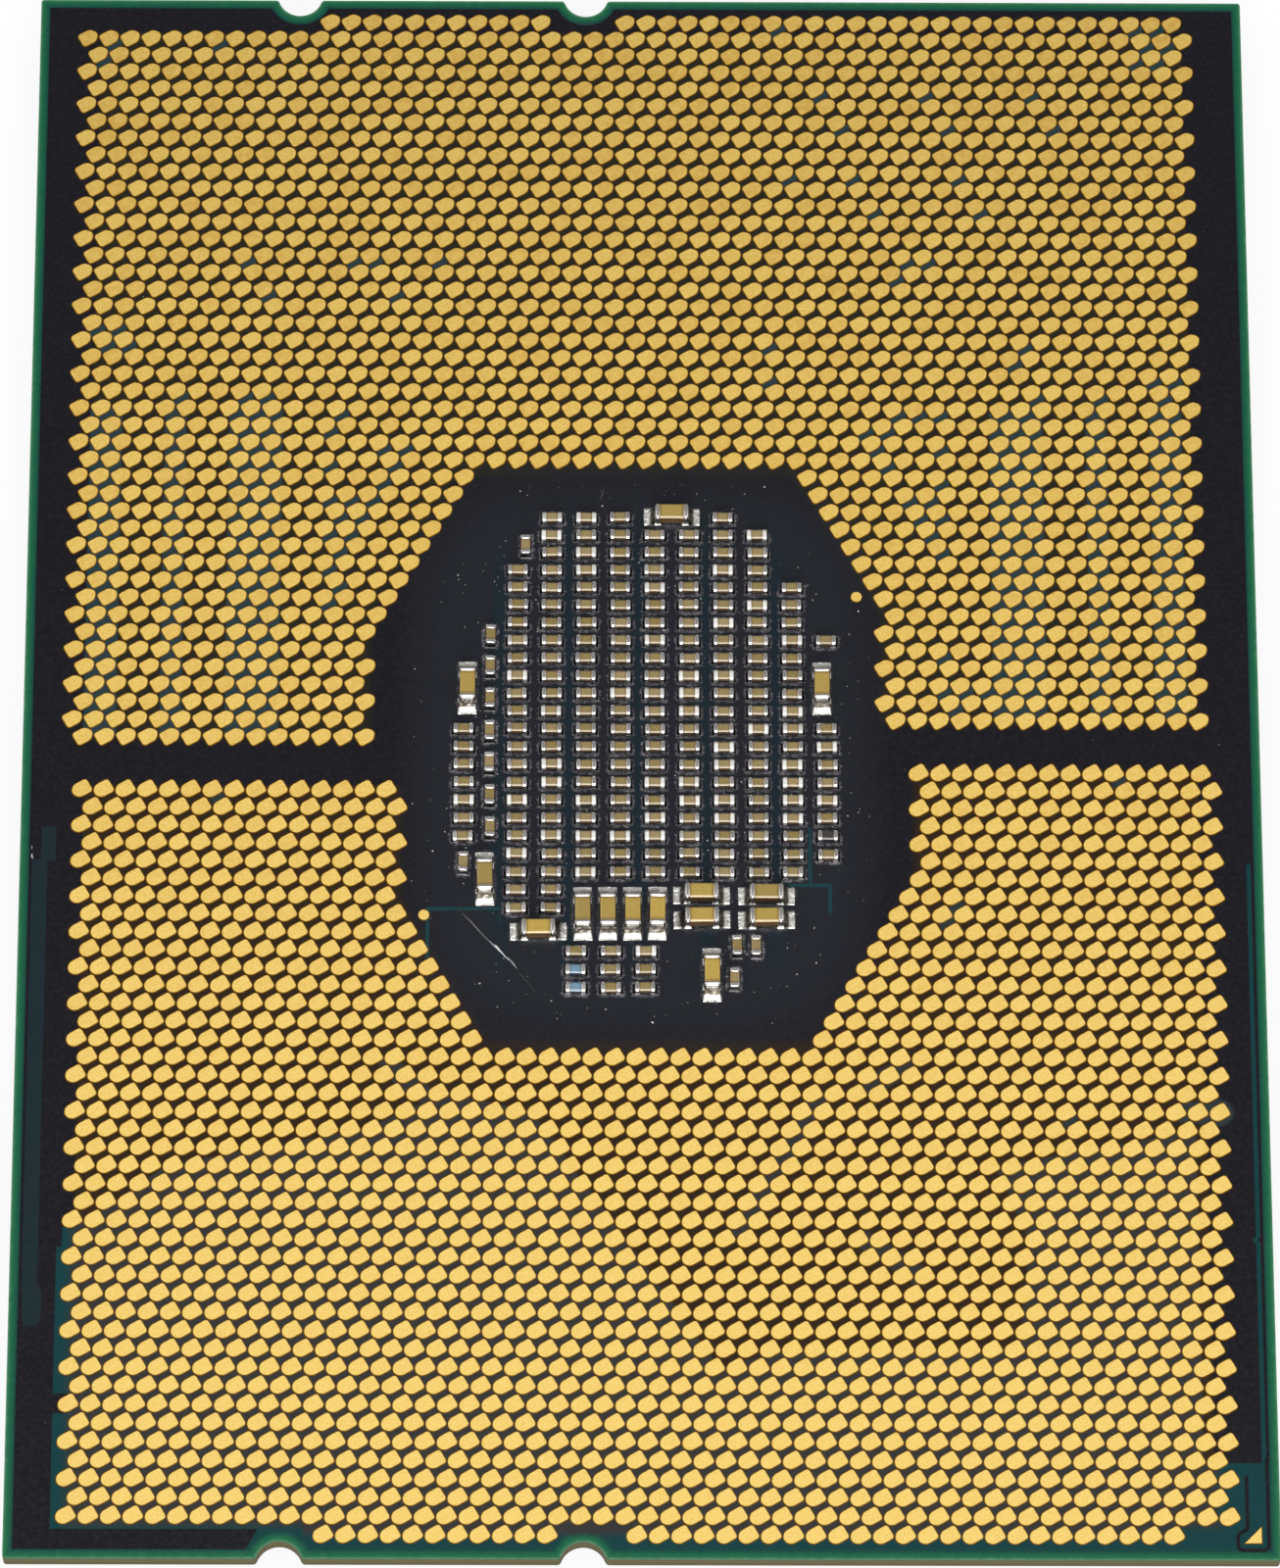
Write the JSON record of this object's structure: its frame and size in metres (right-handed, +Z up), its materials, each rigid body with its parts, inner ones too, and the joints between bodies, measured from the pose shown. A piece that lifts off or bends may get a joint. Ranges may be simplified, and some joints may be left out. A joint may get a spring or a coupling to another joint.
{
  "type": "computer processor",
  "caption": "Flat rectangular processor package: notched board with a gold land grid round a field of chip capacitors, over a stepped metal lid.",
  "frame": {"origin": "centre of the heat spreader's outer face, which the package lies on", "axes": "+Z up through the stack to the contact lands, +Y along the long side, marked corner at +X, -Y"},
  "size_m": [0.0564, 0.076, 0.0052],
  "materials": {
    "nickel": "satin nickel plate over copper",
    "interface": "soft matt metal",
    "silicon": "polished silicon",
    "resin": "cured resin",
    "sealant": "cured silicone",
    "laminate": "green masked laminate with khaki cut edges",
    "masked_copper": "near-black masked copper",
    "gold": "matt gold plate",
    "solder": "bright reflowed solder",
    "ceramic": "fired ochre ceramic",
    "tin": "tin plate",
    "blue_ceramic": "light blue glaze",
    "dark_ceramic": "grey-brown ceramic"
  },
  "bodies": {
    "root": {"heat_spreader": "nickel", "thermal_interface": "interface", "silicon_die": "silicon", "underfill": "resin", "lid_sealant": "sealant", "board": "laminate", "copper_plane": "masked_copper", "upper_lands": "gold", "lower_lands": "gold", "corner_mark": "gold", "fiducial_dots": "gold", "column_0_solder": "solder", "column_1_solder": "solder", "column_2_solder": "solder", "column_3_solder": "solder", "column_4_solder": "solder", "column_5_solder": "solder", "column_6_solder": "solder", "column_7_solder": "solder", "column_8_solder": "solder", "column_9_solder": "solder", "column_10_solder": "solder", "column_0_capacitors": "ceramic", "column_1_capacitors": "ceramic", "column_2_capacitors": "ceramic", "column_3_capacitors": "ceramic", "column_4_capacitors": "ceramic", "column_5_capacitors": "ceramic", "column_6_capacitors": "ceramic", "column_7_capacitors": "ceramic", "column_8_capacitors": "ceramic", "column_9_capacitors": "ceramic", "column_10_capacitors": "ceramic", "column_0_end_caps": "tin", "column_1_end_caps": "tin", "column_2_end_caps": "tin", "column_3_end_caps": "tin", "column_4_end_caps": "tin", "column_5_end_caps": "tin", "column_6_end_caps": "tin", "column_7_end_caps": "tin", "column_8_end_caps": "tin", "column_9_end_caps": "tin", "column_10_end_caps": "tin", "upright_solder": "solder", "upright_capacitors": "ceramic", "upright_end_caps": "tin", "block_solder": "solder", "block_capacitors": "ceramic", "block_end_caps": "tin", "large_upright_solder": "solder", "large_upright_capacitors": "ceramic", "large_upright_end_caps": "tin", "large_across_solder": "solder", "large_across_capacitors": "ceramic", "large_across_end_caps": "tin", "blue_chips": "blue_ceramic", "dark_chip": "dark_ceramic"}
  },
  "joints": []
}
